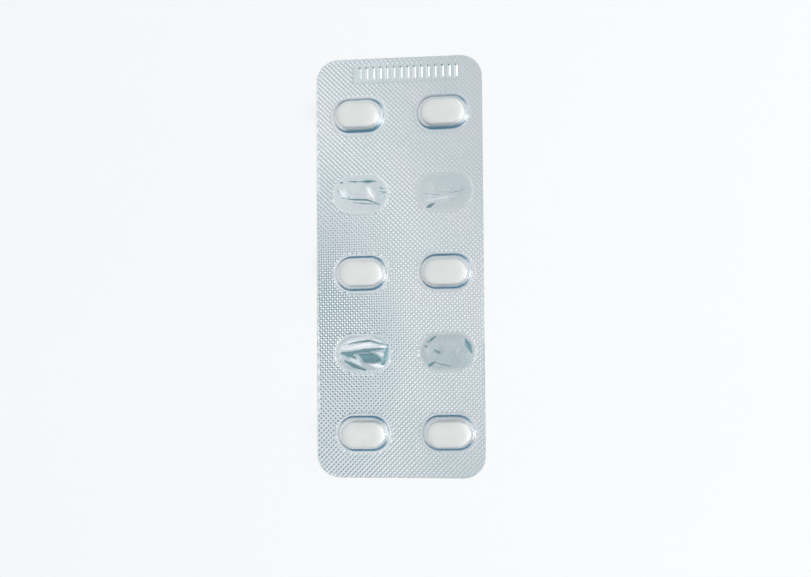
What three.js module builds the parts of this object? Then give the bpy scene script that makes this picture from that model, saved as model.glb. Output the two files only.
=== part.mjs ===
// A push-through blister strip of oblong tablets: a clear thermoformed film with two columns
// of five pockets, heat-sealed to an aluminium lidding foil. Six pockets still hold a tablet.
// The other four were pressed flat when their tablet was pushed out, and the foil behind them
// is torn open. The strip lies on its foil. X runs across it, Y along it and Z up.
// All sizes are in millimetres. The origin is under the middle of the strip.
import * as THREE from "three";

// The punched outline of the strip
const STRIP_WIDTH = 39.3;
const STRIP_LENGTH = 98.5;
const CORNER_RADIUS = 5.2;

// The two layers
const FOIL_THICKNESS = 0.03;
const FILM_THICKNESS = 0.25;
const FORMED_THICKNESS = 0.16; // the film's wall after it was drawn into a pocket

// The pocket pattern, which sits a little askew in the punched outline. The margins run from
// the outer pockets to the strip's sides and ends before the pattern is shifted.
const COLUMNS = 2;
const ROWS = 5;
const SIDE_MARGIN = 3.07;
const END_MARGIN = 7.42;
const PATTERN_SHIFT_X = 0.85;
const PATTERN_SHIFT_Y = -1.55;
const PATTERN_TURN_DEG = 0.63;

// A tablet: an oblong with round ends, an upright band and two cushioned faces. The power is
// that of the superellipse in a face's section: 2 would be round, and more is flatter.
const TABLET_LENGTH = 10.0;
const TABLET_WIDTH = 5.8;
const TABLET_BAND_HEIGHT = 1.9;
const TABLET_CUP_DEPTH = 0.85;
const TABLET_CUP_POWER = 2.6;

// How the tablet fits its pocket
const SIDE_CLEARANCE = 0.45;
const HEAD_CLEARANCE = 0.35;
const SEAT_CLEARANCE = 0.04;

// The pocket's flared foot, drafted wall and rounded shoulder
const FOOT_WIDTH = 0.8;
const FOOT_HEIGHT = 0.85;
const WALL_DRAFT = 0.22;
const SHOULDER_RADIUS = 0.7;
const CROWN_RISE = 0.08;

// A pressed pocket: what is left of its height, how far its walls slope and its least height
const PRESSED_HEIGHT = 2.05;
const PRESSED_SLOPE_WIDTH = 1.9;
const PRESSED_LEAST_HEIGHT = 1.25;

// The torn foil: the tear starts inside the pocket's edge, and its petals have sunk back until
// they nearly close it. Two waves, as shares of the reach inwards, make the torn edge uneven.
const TEAR_MARGIN = 0.5;
const PETAL_LIFT = 0.2;
const LONG_WAVE_REACH = 0.015;
const SHORT_WAVE_REACH = 0.01;

// Fineness of the curved surfaces
const ARC_STEPS = 8;
const STRAIGHT_STEPS = 2;
const CORNER_STEPS = 8;
const FOOT_STEPS = 3;
const SHOULDER_STEPS = 3;
const CUP_STEPS = 4;
const PRESSED_RINGS = 8;
const PRESSED_ARC_STEPS = 10;
const PRESSED_STRAIGHT_STEPS = 4;
const PETAL_RINGS = 3;

// Sizes that follow from the ones above
const FILM_BOTTOM = FOIL_THICKNESS;
const FILM_TOP = FILM_BOTTOM + FILM_THICKNESS;
const TABLET_HEIGHT = TABLET_BAND_HEIGHT + 2 * TABLET_CUP_DEPTH;
const TABLET_RADIUS = TABLET_WIDTH / 2;
const HALF_SPAN = (TABLET_LENGTH - TABLET_WIDTH) / 2;
const WALL_RADIUS = TABLET_RADIUS + SIDE_CLEARANCE + FORMED_THICKNESS;
const POCKET_RADIUS = WALL_RADIUS + WALL_DRAFT + FOOT_WIDTH;
const POCKET_LENGTH = 2 * (HALF_SPAN + POCKET_RADIUS);
const POCKET_WIDTH = 2 * POCKET_RADIUS;
const COLUMN_PITCH = (STRIP_WIDTH - 2 * SIDE_MARGIN - POCKET_LENGTH) / (COLUMNS - 1);
const ROW_PITCH = (STRIP_LENGTH - 2 * END_MARGIN - POCKET_WIDTH) / (ROWS - 1);
const POCKET_CEILING = FOIL_THICKNESS + SEAT_CLEARANCE + TABLET_HEIGHT + HEAD_CLEARANCE;
const POCKET_TOP = POCKET_CEILING + FORMED_THICKNESS;
const TEAR_RADIUS = POCKET_RADIUS - TEAR_MARGIN;

// Where each tablet that is left lies in its pocket: column, row from the top, shift and turn
const TABLETS = [
  { name: "tablet_top_left", column: 0, row: 0, shift: [-0.16, -0.2], turnDeg: -0.8 },
  { name: "tablet_top_right", column: 1, row: 0, shift: [0.02, -0.22], turnDeg: 0.9 },
  { name: "tablet_middle_left", column: 0, row: 2, shift: [-0.02, -0.06], turnDeg: 0.3 },
  { name: "tablet_middle_right", column: 1, row: 2, shift: [-0.18, -0.22], turnDeg: 0.6 },
  { name: "tablet_bottom_left", column: 0, row: 4, shift: [0.0, -0.2], turnDeg: -0.5 },
  { name: "tablet_bottom_right", column: 1, row: 4, shift: [-0.04, -0.24], turnDeg: 0.4 },
];

// The emptied pockets. A fold runs along points of the pocket's plan, with the half width
// over which it fades and its height: a ridge where that is above 0, and a valley below 0.
// Petals give how far the torn foil reaches inwards, as shares of the pocket's radius.
const PRESSED_POCKETS = [
  {
    column: 0,
    row: 1,
    folds: [
      { points: [[-5.1, -1.2], [0.2, -1.5], [5.1, -2.1]], width: 0.8, height: -0.85 },
      { points: [[-3.5, -2.8], [4.7, -3.3]], width: 0.7, height: 0.45 },
      { points: [[1.9, 1.4], [2.8, -1.2]], width: 1.2, height: 0.4 },
      { points: [[0.2, 3.0], [4.2, 2.9]], width: 0.7, height: -0.8 },
      { points: [[-5.9, 1.2], [-4.7, -1.2]], width: 0.7, height: -0.5 },
    ],
    petals: { reach: 0.965, waves: 3, phase: 0.4 },
  },
  {
    column: 1,
    row: 1,
    folds: [
      { points: [[-5.9, -0.5], [1.1, -0.8]], width: 0.9, height: -0.4 },
      { points: [[-6.2, -1.0], [-2.2, -2.2]], width: 0.7, height: -0.4 },
      { points: [[-4.0, -3.3], [-2.4, -2.9]], width: 0.8, height: -0.9 },
      { points: [[-2.2, -2.6], [4.8, -0.8]], width: 1.1, height: 0.45 },
      { points: [[1.1, -1.7], [5.8, 0.4]], width: 0.8, height: -0.4 },
    ],
    petals: { reach: 0.97, waves: 2, phase: 1.7 },
  },
  {
    column: 0,
    row: 3,
    folds: [
      { points: [[-4.5, 0.5], [2.7, 3.0], [5.0, 1.6]], width: 0.8, height: 0.5 },
      { points: [[-4.1, 0.0], [-0.1, 0.2], [5.0, 1.4]], width: 0.7, height: 0.55 },
      { points: [[-1.8, -1.2], [1.6, -0.9], [5.2, -0.7]], width: 1.5, height: -1.2 },
      { points: [[-2.9, -1.9], [0.8, -3.7]], width: 0.8, height: 0.5 },
      { points: [[-4.0, -2.2], [-0.2, -4.0]], width: 0.6, height: -0.5 },
    ],
    petals: { reach: 0.96, waves: 3, phase: 2.6 },
  },
  {
    column: 1,
    row: 3,
    folds: [
      { points: [[-3.7, 0.1], [-1.9, 0.3]], width: 1.1, height: -0.9 },
      { points: [[4.2, 2.4], [5.4, 0.1]], width: 0.7, height: -1.1 },
      { points: [[-6.0, -0.8], [-2.8, -2.5], [2.3, -2.5]], width: 0.75, height: -0.8 },
      { points: [[-5.6, 2.4], [-1.9, 3.1]], width: 0.75, height: -0.7 },
      { points: [[0.4, 2.2], [3.2, -1.2]], width: 1.4, height: 0.3 },
    ],
    petals: { reach: 0.965, waves: 4, phase: 0.9 },
  },
];

const radians = THREE.MathUtils.degToRad;

// The place of a pocket's centre in the strip.
function pocketCentre(column, row) {
  const across = (column - (COLUMNS - 1) / 2) * COLUMN_PITCH;
  const along = ((ROWS - 1) / 2 - row) * ROW_PITCH;
  return new THREE.Vector2(across, along)
    .rotateAround(new THREE.Vector2(), radians(PATTERN_TURN_DEG))
    .add(new THREE.Vector2(PATTERN_SHIFT_X, PATTERN_SHIFT_Y));
}

// Moves a point of a pocket's own plan to its place in the strip.
function placed(point, centre, turnDeg = PATTERN_TURN_DEG) {
  return point
    .clone()
    .rotateAround(new THREE.Vector2(), radians(turnDeg))
    .add(centre);
}

// The points of an oblong with round ends, counter-clockwise: every one lies at the radius
// from a line of twice the half span.
function oblong(radius, arcSteps = ARC_STEPS, straightSteps = STRAIGHT_STEPS) {
  const points = [];
  for (const side of [1, -1]) {
    const start = (-side * Math.PI) / 2;
    for (let i = 0; i <= arcSteps; i++) {
      const angle = start + (Math.PI * i) / arcSteps;
      const across = side * HALF_SPAN + radius * Math.cos(angle);
      points.push(new THREE.Vector2(across, radius * Math.sin(angle)));
    }
    for (let i = 1; i < straightSteps; i++) {
      const across = side * HALF_SPAN * (1 - (2 * i) / straightSteps);
      points.push(new THREE.Vector2(across, side * radius));
    }
  }
  return points;
}

// How far a point of a pocket's plan lies inside the pocket's edge.
function insideEdge(point) {
  const beyond = Math.max(Math.abs(point.x) - HALF_SPAN, 0);
  return POCKET_RADIUS - Math.hypot(beyond, point.y);
}

// A closed surface under construction: its points and its triangles.
class Shell {
  constructor() {
    this.coordinates = [];
    this.triangles = [];
  }

  // Adds a ring or a set of points at one height, or at a height for each, and numbers them.
  add(points, height) {
    const first = this.coordinates.length / 3;
    points.forEach((p, i) => {
      this.coordinates.push(p.x, p.y, Array.isArray(height) ? height[i] : height);
    });
    return points.map((_, i) => first + i);
  }

  triangle(a, b, c, facesUp) {
    this.triangles.push(...(facesUp ? [a, b, c] : [a, c, b]));
  }

  // Joins an outer ring to the ring inside it.
  bridge(outer, inner, facesUp) {
    outer.forEach((a, i) => {
      const next = (i + 1) % outer.length;
      this.triangle(a, outer[next], inner[next], facesUp);
      this.triangle(a, inner[next], inner[i], facesUp);
    });
  }

  // Closes a ring with a fan about one point.
  fan(ring, hub, facesUp) {
    ring.forEach((a, i) => this.triangle(a, ring[(i + 1) % ring.length], hub, facesUp));
  }

  // Fills the flat sheet between an outline and the rings inside it.
  sheet(outlinePoints, outline, holePoints, holes, facesUp) {
    const numbers = [outline, ...holes].flat();
    for (const [a, b, c] of THREE.ShapeUtils.triangulateShape(outlinePoints, holePoints)) {
      this.triangle(numbers[a], numbers[b], numbers[c], facesUp);
    }
  }

  geometry() {
    const made = new THREE.BufferGeometry();
    made.setAttribute("position", new THREE.Float32BufferAttribute(this.coordinates, 3));
    made.setIndex(this.triangles);
    made.computeVertexNormals();
    return made;
  }
}

// The strip's outline, a rectangle with round corners, counter-clockwise.
function stripOutline() {
  const points = [];
  const corners = [[1, -1], [1, 1], [-1, 1], [-1, -1]];
  corners.forEach(([sideX, sideY], corner) => {
    const centreX = sideX * (STRIP_WIDTH / 2 - CORNER_RADIUS);
    const centreY = sideY * (STRIP_LENGTH / 2 - CORNER_RADIUS);
    for (let i = 0; i <= CORNER_STEPS; i++) {
      const angle = (corner - 1 + i / CORNER_STEPS) * (Math.PI / 2);
      const x = centreX + CORNER_RADIUS * Math.cos(angle);
      const y = centreY + CORNER_RADIUS * Math.sin(angle);
      points.push(new THREE.Vector2(x, y));
    }
  });
  return points;
}

// The section of a full pocket, from its edge to its crown, as radius and height. The outer
// face stands on the film's top, and the inner face is a wall thickness inside it.
function pocketSection(isInner) {
  const wall = isInner ? FORMED_THICKNESS : 0;
  const floor = isInner ? FILM_BOTTOM : FILM_TOP;
  const top = isInner ? POCKET_CEILING : POCKET_TOP;
  const shoulder = SHOULDER_RADIUS - wall;
  const section = [];
  for (let i = 1; i <= FOOT_STEPS; i++) {
    const angle = (i / FOOT_STEPS) * (Math.PI / 2);
    section.push([
      POCKET_RADIUS - (FOOT_WIDTH + wall) * Math.sin(angle),
      floor + FOOT_HEIGHT * (1 - Math.cos(angle)),
    ]);
  }
  for (let i = 0; i <= SHOULDER_STEPS; i++) {
    const angle = (i / SHOULDER_STEPS) * (Math.PI / 2);
    section.push([
      WALL_RADIUS - wall - shoulder * (1 - Math.cos(angle)),
      top - shoulder * (1 - Math.sin(angle)),
    ]);
  }
  return section;
}

// One face of a full pocket, from its ring in the sheet to its crown.
function addPocketFace(shell, edge, centre, isInner) {
  let ring = edge;
  for (const [radius, height] of pocketSection(isInner)) {
    const inner = shell.add(
      oblong(radius).map((p) => placed(p, centre)),
      height,
    );
    shell.bridge(ring, inner, !isInner);
    ring = inner;
  }
  const crown = (isInner ? POCKET_CEILING : POCKET_TOP) + CROWN_RISE;
  shell.fan(ring, shell.add([centre], crown)[0], !isInner);
}

function distanceToLine(point, a, b) {
  const along = b.clone().sub(a);
  const share = THREE.MathUtils.clamp(point.clone().sub(a).dot(along) / along.lengthSq(), 0, 1);
  return point.distanceTo(a.clone().addScaledVector(along, share));
}

// How much a fold raises or lowers a point: all of its height on its line, none past its width.
function foldAt(point, fold) {
  const line = fold.points.map(([x, y]) => new THREE.Vector2(x, y));
  const away = Math.min(
    ...line.slice(1).map((end, i) => distanceToLine(point, line[i], end)),
  );
  return fold.height * Math.max(0, 1 - away / fold.width);
}

// The height of a pressed pocket's face above the sheet that it rises from.
function pressedHeight(point, folds) {
  const slope = THREE.MathUtils.smoothstep(insideEdge(point), 0, PRESSED_SLOPE_WIDTH);
  const folded = folds.reduce((sum, fold) => sum + foldAt(point, fold), PRESSED_HEIGHT);
  return slope * Math.max(folded, PRESSED_LEAST_HEIGHT);
}

// One face of a pressed pocket. Both faces have the same plan, so the wall stays whole.
function addPressedFace(shell, edge, centre, folds, isInner) {
  const floor = isInner ? FILM_BOTTOM : FILM_TOP;
  const heightAt = (p) => floor + pressedHeight(p, folds);
  let ring = edge;
  for (let i = 1; i < PRESSED_RINGS; i++) {
    const radius = POCKET_RADIUS * (1 - i / PRESSED_RINGS);
    const plan = oblong(radius, PRESSED_ARC_STEPS, PRESSED_STRAIGHT_STEPS);
    const inner = shell.add(
      plan.map((p) => placed(p, centre)),
      plan.map(heightAt),
    );
    shell.bridge(ring, inner, !isInner);
    ring = inner;
  }
  const hub = shell.add([centre], heightAt(new THREE.Vector2()))[0];
  shell.fan(ring, hub, !isInner);
}

function pressedPocketAt(column, row) {
  return PRESSED_POCKETS.find((p) => p.column === column && p.row === row);
}

// The clear film: one thermoformed sheet with all ten pockets drawn up from it.
function filmGeometry() {
  const shell = new Shell();
  const outline = stripOutline();
  const pockets = [];
  for (let row = 0; row < ROWS; row++) {
    for (let column = 0; column < COLUMNS; column++) {
      const centre = pocketCentre(column, row);
      const pressed = pressedPocketAt(column, row);
      const plan = pressed
        ? oblong(POCKET_RADIUS, PRESSED_ARC_STEPS, PRESSED_STRAIGHT_STEPS)
        : oblong(POCKET_RADIUS);
      pockets.push({ centre, pressed, edge: plan.map((p) => placed(p, centre)) });
    }
  }
  const rims = [];
  for (const isInner of [false, true]) {
    const height = isInner ? FILM_BOTTOM : FILM_TOP;
    const rim = shell.add(outline, height);
    const edges = pockets.map((pocket) => shell.add(pocket.edge, height));
    const holes = pockets.map((pocket) => pocket.edge);
    shell.sheet(outline, rim, holes, edges, !isInner);
    pockets.forEach((pocket, i) => {
      if (pocket.pressed) {
        addPressedFace(shell, edges[i], pocket.centre, pocket.pressed.folds, isInner);
      } else {
        addPocketFace(shell, edges[i], pocket.centre, isInner);
      }
    });
    rims.push(rim);
  }
  shell.bridge(rims[1], rims[0], true);
  return shell.geometry();
}

// How far in a petal of torn foil reaches at one point of the tear's rim, as a share of the
// way to the middle.
function petalReach(petals, share) {
  const angle = share * 2 * Math.PI;
  const longWave = Math.sin(petals.waves * angle + petals.phase);
  const shortWave = Math.sin((2 * petals.waves + 3) * angle + 2 * petals.phase);
  return petals.reach + LONG_WAVE_REACH * longWave + SHORT_WAVE_REACH * shortWave;
}

// One face of the petals round a tear, from the rim in the sheet to the torn edge.
function addPetals(shell, rim, centre, petals, height, facesUp) {
  const rimPlan = oblong(TEAR_RADIUS, PRESSED_ARC_STEPS, PRESSED_STRAIGHT_STEPS);
  let ring = rim;
  for (let i = 1; i <= PETAL_RINGS; i++) {
    const share = i / PETAL_RINGS;
    const reaches = rimPlan.map((_, j) => petalReach(petals, j / rimPlan.length));
    const plan = rimPlan.map((p, j) => {
      const radius = TEAR_RADIUS * (1 - share * reaches[j]);
      const onLine = new THREE.Vector2(THREE.MathUtils.clamp(p.x, -HALF_SPAN, HALF_SPAN), 0);
      return onLine.clone().add(p.clone().sub(onLine).setLength(radius));
    });
    const inner = shell.add(
      plan.map((p) => placed(p, centre)),
      reaches.map((reach) => height + PETAL_LIFT * share ** 2 * reach),
    );
    shell.bridge(ring, inner, facesUp);
    ring = inner;
  }
  return ring;
}

// The lidding foil: one flat sheet with a torn hole behind each emptied pocket.
function foilGeometry() {
  const shell = new Shell();
  const outline = stripOutline();
  const rims = [];
  const tornEdges = [];
  for (const isInner of [false, true]) {
    const height = isInner ? 0 : FOIL_THICKNESS;
    const rim = shell.add(outline, height);
    const holes = PRESSED_POCKETS.map((pocket) => {
      const centre = pocketCentre(pocket.column, pocket.row);
      return oblong(TEAR_RADIUS, PRESSED_ARC_STEPS, PRESSED_STRAIGHT_STEPS).map((p) =>
        placed(p, centre),
      );
    });
    const edges = holes.map((hole) => shell.add(hole, height));
    shell.sheet(outline, rim, holes, edges, !isInner);
    tornEdges.push(
      PRESSED_POCKETS.map((pocket, i) => {
        const centre = pocketCentre(pocket.column, pocket.row);
        return addPetals(shell, edges[i], centre, pocket.petals, height, !isInner);
      }),
    );
    rims.push(rim);
  }
  shell.bridge(rims[1], rims[0], true);
  tornEdges[0].forEach((upper, i) => shell.bridge(upper, tornEdges[1][i], true));
  return shell.geometry();
}

// One tablet, centred on its own middle: a band with a cushioned face above and below.
function tabletGeometry() {
  const shell = new Shell();
  const section = [];
  for (let i = 0; i <= CUP_STEPS; i++) {
    const angle = (i / (CUP_STEPS + 1)) * (Math.PI / 2);
    const inwards = Math.cos(angle) ** (2 / TABLET_CUP_POWER);
    const upwards = Math.sin(angle) ** (2 / TABLET_CUP_POWER);
    section.push([
      TABLET_RADIUS * inwards,
      TABLET_BAND_HEIGHT / 2 + TABLET_CUP_DEPTH * upwards,
    ]);
  }
  const bands = [];
  for (const side of [1, -1]) {
    const rings = section.map(([radius, height]) => shell.add(oblong(radius), side * height));
    rings.slice(1).forEach((ring, i) => shell.bridge(rings[i], ring, side > 0));
    const pole = TABLET_BAND_HEIGHT / 2 + TABLET_CUP_DEPTH;
    const hub = shell.add([new THREE.Vector2()], side * pole)[0];
    shell.fan(rings[rings.length - 1], hub, side > 0);
    bands.push(rings[0]);
  }
  shell.bridge(bands[1], bands[0], true);
  return shell.geometry();
}

const filmMaterial = new THREE.MeshStandardMaterial({
  color: 0xdfe8ec,
  roughness: 0.12,
  metalness: 0,
  transparent: true,
  opacity: 0.35,
});
const foilMaterial = new THREE.MeshStandardMaterial({
  color: 0xb9c4ca,
  roughness: 0.35,
  metalness: 1,
});
const tabletMaterial = new THREE.MeshStandardMaterial({
  color: 0xf1f0ec,
  roughness: 0.55,
  metalness: 0,
});

function mesh(name, geometry, material) {
  const made = new THREE.Mesh(geometry, material);
  made.name = name;
  return made;
}

const strip = new THREE.Group();
strip.add(mesh("lidding_foil", foilGeometry(), foilMaterial));
strip.add(mesh("clear_film", filmGeometry(), filmMaterial));

for (const tablet of TABLETS) {
  const made = mesh(tablet.name, tabletGeometry(), tabletMaterial);
  const centre = pocketCentre(tablet.column, tablet.row);
  const place = placed(new THREE.Vector2(...tablet.shift), centre);
  made.position.set(place.x, place.y, FOIL_THICKNESS + SEAT_CLEARANCE + TABLET_HEIGHT / 2);
  made.rotation.z = radians(PATTERN_TURN_DEG + tablet.turnDeg);
  strip.add(made);
}

export default strip;
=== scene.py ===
import math

import bpy
from mathutils import Euler, Matrix, Vector
from mathutils.geometry import delaunay_2d_cdt


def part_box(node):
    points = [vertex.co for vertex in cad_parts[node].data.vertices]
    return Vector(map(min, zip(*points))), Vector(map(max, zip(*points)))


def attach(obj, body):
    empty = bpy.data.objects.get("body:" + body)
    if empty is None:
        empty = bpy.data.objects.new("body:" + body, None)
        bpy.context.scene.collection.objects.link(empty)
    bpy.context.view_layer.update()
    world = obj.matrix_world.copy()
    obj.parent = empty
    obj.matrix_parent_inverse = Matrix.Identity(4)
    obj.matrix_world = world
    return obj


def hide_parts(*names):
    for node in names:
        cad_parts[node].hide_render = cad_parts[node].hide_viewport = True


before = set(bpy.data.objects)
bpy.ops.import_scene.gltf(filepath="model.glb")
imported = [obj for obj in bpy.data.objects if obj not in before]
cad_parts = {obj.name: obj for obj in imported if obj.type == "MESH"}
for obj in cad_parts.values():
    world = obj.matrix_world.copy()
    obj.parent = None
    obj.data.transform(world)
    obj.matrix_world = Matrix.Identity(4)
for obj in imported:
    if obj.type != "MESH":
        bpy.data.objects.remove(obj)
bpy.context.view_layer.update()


# Lidding foil
# Hard aluminium foil, lacquered on its upper side and heat-sealed to the clear film. The
# sealing plate presses a diamond knurl into both layers, except round the pockets. Behind
# each emptied pocket the foil is torn open, and its flaps have sunk back nearly shut.
MM = 0.001

foil_low, foil_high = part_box("lidding_foil")
STRIP_WIDTH = (foil_high[0] - foil_low[0]) / MM
STRIP_LENGTH = (foil_high[1] - foil_low[1]) / MM
CORNER_RADIUS = 5.2
CORNER_STEPS = 14
EDGE_SPACING = 0.8
FOIL_THICKNESS = 0.03

# The pocket pattern, which sits a little askew in the punched outline
COLUMN_PITCH = 19.9
ROW_PITCH = 18.65
PATTERN_SHIFT = Vector((0.85, -1.55))
PATTERN_TURN = math.radians(0.63)
HALF_SPAN = 2.1
POCKET_RADIUS = 4.53
POCKET_ARC_STEPS = 20
POCKET_STRAIGHT_STEPS = 6
POCKETS = [(column, row) for row in range(5) for column in range(2)]

# The knurl: square pyramids in rows at 45 degrees to the strip
KNURL_PITCH = 0.8
KNURL_DEPTH = 0.14
KNURL_TURN = PATTERN_TURN + math.radians(45)
KNURL_FADE = 0.35

# The sealing plate pressed deepest a little below the middle and towards the left side.
# Towards the right side and the top, the knurl eases off to a share of its depth.
DEEPEST_ALONG = -14.0
DEEP_REACH = 31.0
SHALLOW_SHARE = 0.35
RIGHT_SIDE_SHARE = 0.45
RIGHT_SIDE_EASE = (-16, 10)
TOP_SHARE = 0.8
TOP_EASE = (18, 36)

# A field of plain raised bars near the top edge, where there is no knurl
FIELD_CENTRE = Vector((2.1, 45.7))
FIELD_SIZE = Vector((25.5, 4.2))
FIELD_MARGIN = 0.5
FIELD_SPACING = 0.2
BAR_COUNT = 15
BAR_WIDTH = 0.75
BAR_LENGTH = 3.0
BAR_HEIGHT = 0.08
BAR_SLOPE = 0.25

# How far the points of the knurl and of the bars keep from other edges, so that no triangle
# between them is a sliver
OUTLINE_CLEARANCE = 0.22
POCKET_CLEARANCE = 0.15
FIELD_CLEARANCE = 0.12
FIELD_EDGE_CLEARANCE = 0.1

# How near two points of a flat sheet are taken as one, and by how much a point has to lie
# inside a rim to be in its hole
MERGE_DISTANCE = 1e-6
RIM_TOLERANCE = 0.001

# The tears: where each starts, how far its petals reach in as a share of the way to the
# pocket's middle line, how uneven they are, and how far they stand off the sheet
TEAR_RADIUS = POCKET_RADIUS - 0.5
TEAR_ARC_STEPS = 44
TEAR_STRAIGHT_STEPS = 16
PETAL_RINGS = 8
PETAL_LIFT = 0.03
PETAL_WRINKLE = 0.03
LONG_WAVE_REACH = 0.003
SHORT_WAVE_REACH = 0.002
JAG_REACH = 0.001
JAG_TEETH = (23, 41)
PETALS = {
    (0, 1): {"reach": 0.992, "waves": 3, "phase": 0.4},
    (1, 1): {"reach": 0.993, "waves": 2, "phase": 1.7},
    (0, 3): {"reach": 0.99, "waves": 3, "phase": 2.6},
    (1, 3): {"reach": 0.992, "waves": 4, "phase": 0.9},
}


def turned(point, angle):
    """The point turned about the origin."""
    return Vector(
        (
            point.x * math.cos(angle) - point.y * math.sin(angle),
            point.x * math.sin(angle) + point.y * math.cos(angle),
        )
    )


def pocket_centre(column, row):
    """The place of a pocket's centre in the strip."""
    across = (column - 0.5) * COLUMN_PITCH
    along = (2 - row) * ROW_PITCH
    return turned(Vector((across, along)), PATTERN_TURN) + PATTERN_SHIFT


def placed(plan, column, row):
    """A pocket's own plan, moved to its place in the strip."""
    centre = pocket_centre(column, row)
    return [turned(point, PATTERN_TURN) + centre for point in plan]


def oblong(radius, arc_steps, straight_steps):
    """The points of an oblong with round ends, counter-clockwise."""
    points = []
    for side in (1, -1):
        for i in range(arc_steps + 1):
            angle = -side * math.pi / 2 + math.pi * i / arc_steps
            across = side * HALF_SPAN + radius * math.cos(angle)
            points.append(Vector((across, radius * math.sin(angle))))
        for i in range(1, straight_steps):
            across = side * HALF_SPAN * (1 - 2 * i / straight_steps)
            points.append(Vector((across, side * radius)))
    return points


def on_middle_line(point):
    """The point of a pocket's middle line that is nearest to a point of its own plan."""
    return Vector((min(max(point.x, -HALF_SPAN), HALF_SPAN), 0))


def from_middle_line(point):
    """How far a point of a pocket's own plan lies from the pocket's middle line."""
    return math.hypot(max(abs(point.x) - HALF_SPAN, 0), point.y)


def smoothstep(value, start, end):
    """0 up to the start, 1 from the end on, and an even ease between them."""
    share = min(max((value - start) / (end - start), 0), 1)
    return share * share * (3 - 2 * share)


def strip_outline():
    """The punched outline: a rectangle with round corners, counter-clockwise."""
    points = []
    for corner, (side_x, side_y) in enumerate(((1, -1), (1, 1), (-1, 1), (-1, -1))):
        centre = Vector(
            (
                side_x * (STRIP_WIDTH / 2 - CORNER_RADIUS),
                side_y * (STRIP_LENGTH / 2 - CORNER_RADIUS),
            )
        )
        for i in range(CORNER_STEPS + 1):
            angle = (corner - 1 + i / CORNER_STEPS) * math.pi / 2
            point = centre + CORNER_RADIUS * Vector((math.cos(angle), math.sin(angle)))
            points.append(point)
    return with_even_sides(points)


def with_even_sides(points):
    """The outline with points added, so that no side is longer than the edge spacing."""
    filled = []
    for i, point in enumerate(points):
        end = points[(i + 1) % len(points)]
        steps = max(math.ceil((end - point).length / EDGE_SPACING), 1)
        filled += [point.lerp(end, j / steps) for j in range(steps)]
    return filled


def inside_outline(point, margin):
    """True if the point lies inside the punched outline by at least the margin."""
    across = abs(point.x) - (STRIP_WIDTH / 2 - CORNER_RADIUS)
    along = abs(point.y) - (STRIP_LENGTH / 2 - CORNER_RADIUS)
    beyond = math.hypot(max(across, 0), max(along, 0))
    return max(across, along, beyond) < CORNER_RADIUS - margin


def beyond_pockets(point):
    """How far a point of the strip lies outside the nearest pocket's edge."""
    own = turned(point - PATTERN_SHIFT, -PATTERN_TURN)
    column = 0 if own.x < 0 else 1
    row = min(max(round(2 - own.y / ROW_PITCH), 0), 4)
    centre = Vector(((column - 0.5) * COLUMN_PITCH, (2 - row) * ROW_PITCH))
    return from_middle_line(own - centre) - POCKET_RADIUS


def beyond_field(point):
    """How far a point of the strip lies outside the field of bars."""
    away = point - FIELD_CENTRE
    across = max(abs(away.x) - FIELD_SIZE.x / 2, 0)
    along = max(abs(away.y) - FIELD_SIZE.y / 2, 0)
    return math.hypot(across, along)


def knurl_strength(point):
    """How fully the knurl is pressed in: up to 1, and 0 in the pockets and among the bars."""
    clear = smoothstep(beyond_pockets(point), 0, KNURL_FADE)
    clear *= smoothstep(beyond_field(point), 0, KNURL_FADE)
    away = (point.y - DEEPEST_ALONG) / DEEP_REACH
    along = SHALLOW_SHARE + (1 - SHALLOW_SHARE) * math.exp(-(away**2))
    across = 1 - (1 - RIGHT_SIDE_SHARE) * smoothstep(point.x, *RIGHT_SIDE_EASE)
    top = 1 - (1 - TOP_SHARE) * smoothstep(point.y, *TOP_EASE)
    return clear * along * across * top


def zigzag(length):
    """A wave of straight slopes between 1 and -1, one knurl pitch long."""
    return 4 * abs(length / KNURL_PITCH % 1 - 0.5) - 1


def knurl_height(point):
    """How high the fully pressed knurl stands at a point of the strip."""
    own = turned(point, -KNURL_TURN)
    return KNURL_DEPTH * (2 + zigzag(own.x) + zigzag(own.y)) / 4


def bar_height(point):
    """How high the raised bars stand at a point of the strip."""
    away = point - FIELD_CENTRE
    bar_pitch = (FIELD_SIZE.x - 2 * FIELD_MARGIN) / BAR_COUNT
    nearest = round(away.x / bar_pitch)
    if abs(nearest) > BAR_COUNT // 2:
        return 0
    across = BAR_WIDTH / 2 - abs(away.x - nearest * bar_pitch)
    along = BAR_LENGTH / 2 - abs(away.y)
    return BAR_HEIGHT * smoothstep(min(across, along), 0, BAR_SLOPE)


def relief(point):
    """How far the pressed pattern stands above the flat sheet."""
    return knurl_strength(point) * knurl_height(point) + bar_height(point)


def lattice(origin, turn, spacing, counts):
    """Points on a square grid about an origin."""
    for i in range(-counts[0], counts[0] + 1):
        for j in range(-counts[1], counts[1] + 1):
            yield turned(Vector((i * spacing, j * spacing)), turn) + origin


def relief_points():
    """The points that the pressed pattern needs: the knurl's peaks, saddles and pits, and a
    finer grid in the field of bars."""
    points = []
    half_pitch = KNURL_PITCH / 2
    reach = math.ceil((STRIP_WIDTH + STRIP_LENGTH) / 2 / half_pitch)
    for point in lattice(Vector((0, 0)), KNURL_TURN, half_pitch, (reach, reach)):
        if not inside_outline(point, OUTLINE_CLEARANCE):
            continue
        if beyond_pockets(point) > POCKET_CLEARANCE and beyond_field(point) > FIELD_CLEARANCE:
            points.append(point)
    counts = [round(size / 2 / FIELD_SPACING) for size in FIELD_SIZE]
    for point in lattice(FIELD_CENTRE, 0, FIELD_SPACING, counts):
        if not inside_outline(point, FIELD_EDGE_CLEARANCE):
            continue
        if beyond_pockets(point) > FIELD_EDGE_CLEARANCE:
            points.append(point)
    return points


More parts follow.
